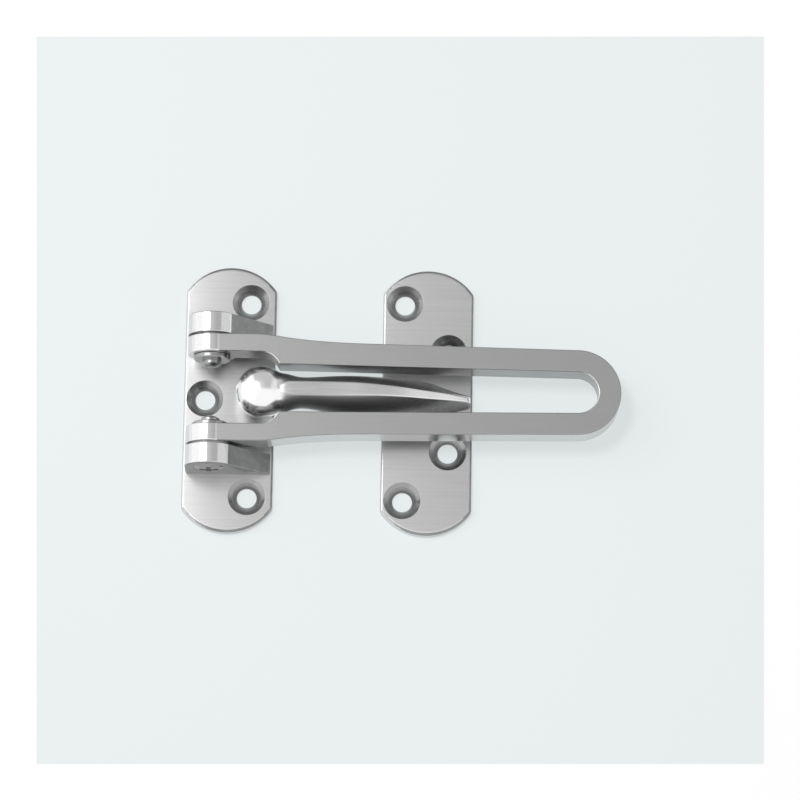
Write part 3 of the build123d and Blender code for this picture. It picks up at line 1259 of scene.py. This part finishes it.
    def build(self, metal: Material) -> Object:
        """Make the arm and the ball as one smooth surface.

        Args:
            metal: Their metal: polish on the ball, painted light on the crest, painted shade on the flanks.

        Returns:
            The piece.
        """
        xs, *columns = zip(*self.sections)
        curves = [smooth_row(xs, column) for column in columns]
        rows = []
        for x in self.places():
            rows.append([(x, y, z) for y, z in self.section(*self.measures(x, curves))])
        shell = Shell()
        rings = shell.stack(rows)
        pole = shell.ring([(self.ball_x - self.ball_radius, 0.0, self.ball_z)])[0]
        first = rings[0]
        for i, number in enumerate(first):
            shell.faces.append((number, first[(i + 1) % len(first)], pole))
        shell.faces.append(tuple(rings[-1]))
        arm = shell.to_object("catch_arm", metal)
        self.polish_and_painted_light(arm, curves[-1])
        return settle(arm, 50.0)


@dataclass(frozen=True)
class View:
    """The camera that took the picture.

    Attributes:
        target: Point it looks at, in millimetres.
        elevation: Degrees above the mounting plane.
        roll: Degrees by which the camera is turned about its own axis.
        distance: Millimetres from the target.
        lens: Focal length for a sensor 36 mm wide.
    """

    target: tuple = (-0.325, -0.769, 8.0)
    elevation: float = 76.449
    roll: float = 0.953
    distance: float = 1060.6
    lens: float = 181.25

    def build(self) -> Object:
        """Make the camera and give it to the scene.

        Returns:
            The camera.
        """
        data = bpy.data.cameras.new("camera")
        data.lens = self.lens
        data.sensor_width = 36.0
        data.clip_start = 0.05
        data.clip_end = 20.0
        camera = bpy.data.objects.new("camera", data)
        bpy.context.scene.collection.objects.link(camera)
        angle = math.radians(self.elevation)
        back = Vector((0.0, -math.cos(angle), math.sin(angle)))
        camera.location = (Vector(self.target) + back * self.distance) * MM
        camera.rotation_mode = "QUATERNION"
        level = (-back).to_track_quat("-Z", "Y")
        camera.rotation_quaternion = level @ Quaternion((0, 0, 1), math.radians(self.roll))
        bpy.context.scene.camera = camera
        return camera

    @staticmethod
    def floor_point(camera: Object, x: float, y: float) -> Vector:
        """Find where a point of the picture lies on the floor.

        Args:
            camera: The finished camera.
            x: Column, from 0 to 1.
            y: Row, from 0 at the top to 1.

        Returns:
            The point on the plane z = 0, in metres.
        """
        half = camera.data.sensor_width / 2 / camera.data.lens
        ray = camera.rotation_quaternion @ Vector(((2 * x - 1) * half, (1 - 2 * y) * half, -1.0))
        return camera.location - ray * (camera.location.z / ray.z)


@dataclass(frozen=True)
class Wall:
    """One side of the light tent around the guard.

    Attributes:
        towards: Direction of its middle.
        reach: Degrees off the middle at which it has faded out.
        full: Degrees off the middle up to which it has its full strength.
        strength: Its strength, where 1 is white.
    """

    towards: tuple
    reach: float
    full: float
    strength: float

    def share(self, tree: NodeTree, direction: NodeSocket) -> NodeSocket:
        """Work out how much of the wall lies in a direction.

        Args:
            tree: The world's node tree.
            direction: The direction that is looked in.

        Returns:
            0 outside the wall, 1 where it has its full strength.
        """
        inputs = {0: direction, 1: self.towards}
        facing = add_node(tree, "ShaderNodeVectorMath", "Value", inputs, operation="DOT_PRODUCT")
        limits = math.cos(math.radians(self.reach)), math.cos(math.radians(self.full))
        return ramp(tree, facing, limits, interpolation_type="SMOOTHSTEP")


@dataclass(frozen=True)
class Tent:
    """The soft light all round the guard: bright sides under a greyer top.

    Attributes:
        top_left: Strength of the top on its left side.
        top_right: Strength of the top on its right side.
        top_range: How far left and right the top's direction leans where it has these strengths.
        walls: The bright sides.
        matt: Share of this light that matt surfaces get. The key lamp lends them the rest.
    """

    top_left: float
    top_right: float
    top_range: tuple
    walls: tuple
    matt: float

    def build(self) -> World:
        """Make the world.

        Returns:
            The world.
        """
        world = bpy.data.worlds.new("tent")
        world.use_nodes = True
        tree = world.node_tree
        place = add_node(tree, "ShaderNodeTexCoord", "Generated")
        across = add_node(tree, "ShaderNodeSeparateXYZ", "X", {"Vector": place})
        light = ramp(tree, across, self.top_range, (self.top_left, self.top_right))
        for wall in self.walls:
            inputs = {"Factor": wall.share(tree, place), "A": light, "B": wall.strength}
            light = add_node(tree, "ShaderNodeMix", "Result", inputs)
        rays = add_node(tree, "ShaderNodeLightPath", "Is Diffuse Ray")
        dimmed = reckon(tree, "MULTIPLY", light, ramp(tree, rays, (0.0, 1.0), (1.0, self.matt)))
        feed(tree.nodes["Background"], {"Color": (1.0, 1.0, 1.0, 1.0), "Strength": dimmed})
        return world


TENT = Tent(
    top_left=0.78,
    top_right=0.50,
    top_range=(-0.35, 0.35),
    walls=(
        Wall((0.0, 1.0, 0.0), 66.0, 40.0, 0.54),
        Wall((1.0, 0.0, 0.0), 53.0, 47.0, 0.78),
        Wall((0.0, -1.0, 0.0), 98.0, 91.0, 0.98),
        Wall((-1.0, 0.0, 0.0), 62.0, 57.0, 1.18),
    ),
    matt=0.54,
)


@dataclass(frozen=True)
class Lamp:
    """A soft round panel of light, aimed at the guard.

    Attributes:
        name: Name of the lamp.
        place: Its centre, in metres.
        size: Its width, in metres.
        power: Its power, in watts.
        mirrored: Whether bare metal mirrors it.
    """

    name: str
    place: tuple
    size: float
    power: float
    mirrored: bool

    def build(self) -> Object:
        """Make the lamp.

        Returns:
            The lamp.
        """
        data = bpy.data.lights.new(self.name, "AREA")
        data.shape = "ELLIPSE"
        data.size = data.size_y = self.size
        data.energy = self.power
        lamp = bpy.data.objects.new(self.name, data)
        lamp.location = self.place
        lamp.rotation_euler = Vector(self.place).to_track_quat("Z", "Y").to_euler()
        lamp.visible_glossy = self.mirrored
        bpy.context.scene.collection.objects.link(lamp)
        return lamp


@dataclass(frozen=True)
class Studio:
    """The pale card the guard lies on, the white sheet under it, the lamps and the tent.

    Attributes:
        camera: The camera, for which the card's edges are straight.
        card: Colour of the card, linear.
        card_z: Height of the card, in metres.
        card_edges: First and last row and column of the picture that the card fills, from 0 to 1.
        sheet: Colour of the sheet, linear.
        sheet_z: Height of the sheet, in metres.
        sheet_half: Half its width, in metres.
        glow: Share of the papers' light that shadows don't take away.
        lamps: The lamps.
    """

    camera: Object
    card: tuple = (0.812, 0.851, 0.859)
    card_z: float = -0.0001
    card_edges: tuple = (36.5 / 800, 763.5 / 800)
    sheet: tuple = (1.0, 1.0, 1.0)
    sheet_z: float = -0.0004
    sheet_half: float = 3.0
    glow: float = 0.72
    lamps: tuple = (
        Lamp("key", (-0.17, 0.05, 0.90), 0.18, 3.7, False),
        Lamp("left", (-0.24, 0.10, 0.40), 0.24, 0.42, True),
    )

    def paper(self, name: str, colour: tuple) -> Material:
        """Make a plain matt paper that shows only part of its shadows, also in metal and through glass.

        Args:
            name: Name of the material.
            colour: Its colour, linear.

        Returns:
            The material.
        """
        material, tree, shader = fresh_material(name)
        camera = add_node(tree, "ShaderNodeLightPath", "Is Camera Ray")
        seen = reckon(tree, "MAXIMUM", camera, camera.node.outputs["Is Glossy Ray"])
        seen = reckon(tree, "MAXIMUM", seen, camera.node.outputs["Is Transmission Ray"])
        glow = reckon(tree, "MULTIPLY", seen, self.glow)
        feed(shader, {"Roughness": 1.0, "Specular IOR Level": 0.0})
        feed(shader, {"Base Color": blend(tree, glow, (*colour, 1.0), (0.0, 0.0, 0.0, 1.0))})
        feed(shader, {"Emission Color": (*colour, 1.0), "Emission Strength": glow})
        return material

    def quad(self, name: str, corners: list, height: float, colour: tuple) -> None:
        """Args:
            name: Name of the object and its material.
            corners: Places of its four corners, anticlockwise from above, in metres.
            height: Its height, in metres.
            colour: Its colour, linear.
        """
        mesh = bpy.data.meshes.new(name)
        mesh.from_pydata([(x, y, height) for x, y in corners], [], [(0, 1, 2, 3)])
        mesh.materials.append(self.paper(name, colour))
        sheet = bpy.data.objects.new(name, mesh)
        bpy.context.scene.collection.objects.link(sheet)

    def build(self) -> None:
        """Lay the card and the sheet, hang the lamps and put up the tent."""
        low, high = self.card_edges
        corners = ((low, high), (high, high), (high, low), (low, low))
        card = [View.floor_point(self.camera, x, y).xy for x, y in corners]
        self.quad("card", card, self.card_z, self.card)
        far = self.sheet_half
        self.quad("sheet", [(-far, -far), (far, -far), (far, far), (-far, far)], self.sheet_z, self.sheet)
        for lamp in self.lamps:
            lamp.build()
        bpy.context.scene.world = TENT.build()


BASE = PlateShape("base_body", -45.5, holes=((5.2, 26.4), (5.2, -26.4), (-6.4, 0.0)))
CATCH = PlateShape("catch_body", 6.85, holes=((-6.2, 26.8), (-6.2, -26.8), (5.6, 13.5), (5.6, -13.5)))


def dress(node: str, material: Material, crease: float = 28.0) -> None:
    """Give a CAD node its finish and smooth its shading.

    Args:
        node: Name of the CAD node.
        material: Its finish.
        crease: Edges that turn by more degrees than this stay sharp.
    """
    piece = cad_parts[node]
    piece.data.materials.clear()
    piece.data.materials.append(material)
    piece.data.shade_smooth()
    piece.data.set_sharp_from_angle(angle=math.radians(crease))
    LOG.info("%s: the CAD solid, in %s", node, material.name)


def main() -> None:
    """Dress the guard, light it and place the camera."""
    logging.basicConfig(level=logging.INFO, format="%(name)s: %(message)s")
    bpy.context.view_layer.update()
    bpy.context.scene.view_settings.view_transform = "Standard"
    brushed, satin, polished = BRUSHED.build(), SATIN.build(), POLISHED.build()
    # The darker metals are painted shade, the lighter side metal painted light.
    lit_sides, shade_metal, sink = SIDE_LIGHT.build(), PAINTED_SHADE.build(), SINK_SHADE.build()
    pin_steel, washer_steel = PIN_STEEL.build(), WASHER_STEEL.build()
    base = BASE.build(brushed, shade_metal, lit_sides, sink)
    catch = CATCH.build(brushed, shade_metal, lit_sides, sink)
    lugs = LugShape().build(polished, shade_metal)
    arm = ArmShape().build(LEAF.build())
    bar = BarShape().build(satin, polished, lit_sides, shade_metal, SHADED.build())
    for piece, body, node in (
        (base, Body.FIXED, "base_plate"),
        (lugs, Body.FIXED, "base_plate"),
        (catch, Body.FIXED, "catch_plate"),
        (arm, Body.FIXED, "catch_plate"),
        (bar, Body.BAR, "swing_bar"),
    ):
        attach(piece, body.value)
        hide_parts(node)
        LOG.info("%s: %d faces, on %s, for %s", piece.name, len(piece.data.polygons), body.value, node)
    for side in ("upper", "lower"):
        dress(f"{side}_hinge_pin", pin_steel)
        dress(f"{side}_retaining_ring", pin_steel)
        dress(f"{side}_spacer_washer", washer_steel)
    Studio(View().build()).build()


if __name__ == "__main__":
    main()
